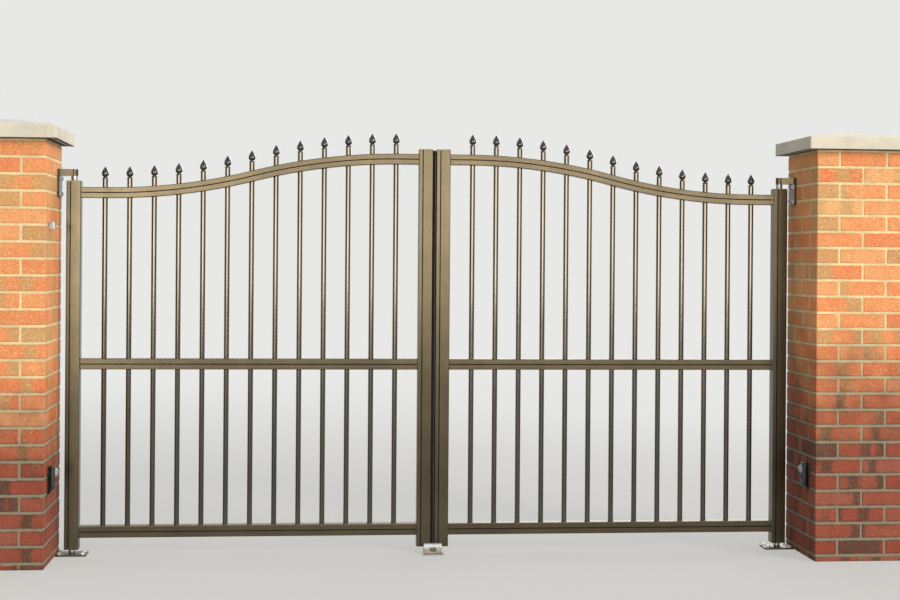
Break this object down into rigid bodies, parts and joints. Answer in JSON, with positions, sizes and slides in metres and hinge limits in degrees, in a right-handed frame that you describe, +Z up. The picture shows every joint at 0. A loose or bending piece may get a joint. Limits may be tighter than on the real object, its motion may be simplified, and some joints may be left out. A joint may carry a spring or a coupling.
{
  "type": "double-leaf driveway gate with brick piers",
  "caption": "Swan-neck driveway gate: barred leaves with pointed finials, hung between square brick piers with stone caps.",
  "frame": {"origin": "centre of the left pier's foot, at ground level", "axes": "+X along the gate from the left pier to the right pier, +Y into the drive, the way the leaves open, +Z up"},
  "size_m": [4.48, 0.54, 2.013],
  "materials": {
    "brick": "fired clay brick with pale mortar",
    "cap_stone": "cast stone",
    "gate_paint": "satin dark bronze-black coat",
    "hinge_paint": "black paint",
    "finial_metal": "satin grey-black",
    "bush_steel": "dull steel",
    "galvanised": "hot-dip galvanised",
    "cleat_zinc": "weathered zinc",
    "black_plastic": "black moulding",
    "smoked_lens": "smoked glossy window"
  },
  "bodies": {
    "piers": {"left_pier": "brick", "right_pier": "brick", "left_cap": "cap_stone", "right_cap": "cap_stone", "left_hinge_plate": "hinge_paint", "left_hinge_arm": "hinge_paint", "right_hinge_plate": "hinge_paint", "right_hinge_arm": "hinge_paint", "left_floor_pivot": "hinge_paint", "right_floor_pivot": "hinge_paint", "floor_stop": "galvanised", "left_photocell": "black_plastic", "right_photocell": "black_plastic", "left_lens": "smoked_lens", "right_lens": "smoked_lens", "wall_cleat": "cleat_zinc"},
    "left_leaf": {"left_hinge_stile": "gate_paint", "left_meeting_stile": "gate_paint", "left_top_rail": "gate_paint", "left_mid_rail": "gate_paint", "left_bottom_rail": "gate_paint", "left_bars": "gate_paint", "left_finials": "finial_metal", "left_stile_caps": "gate_paint", "left_bushes": "bush_steel", "rebate_strip": "black_plastic"},
    "right_leaf": {"right_hinge_stile": "gate_paint", "right_meeting_stile": "gate_paint", "right_top_rail": "gate_paint", "right_mid_rail": "gate_paint", "right_bottom_rail": "gate_paint", "right_bars": "gate_paint", "right_finials": "finial_metal", "right_stile_caps": "gate_paint", "right_bushes": "bush_steel"}
  },
  "joints": [
    {"name": "left_leaf_swing", "type": "hinge", "parent": "piers", "child": "left_leaf", "pos_m": [0.291, 0.135, 0], "axis": [0, 0, 1], "range_deg": [0, 95]},
    {"name": "right_leaf_swing", "type": "hinge", "parent": "piers", "child": "right_leaf", "pos_m": [3.649, 0.135, 0], "axis": [0, 0, -1], "range_deg": [0, 95]}
  ]
}
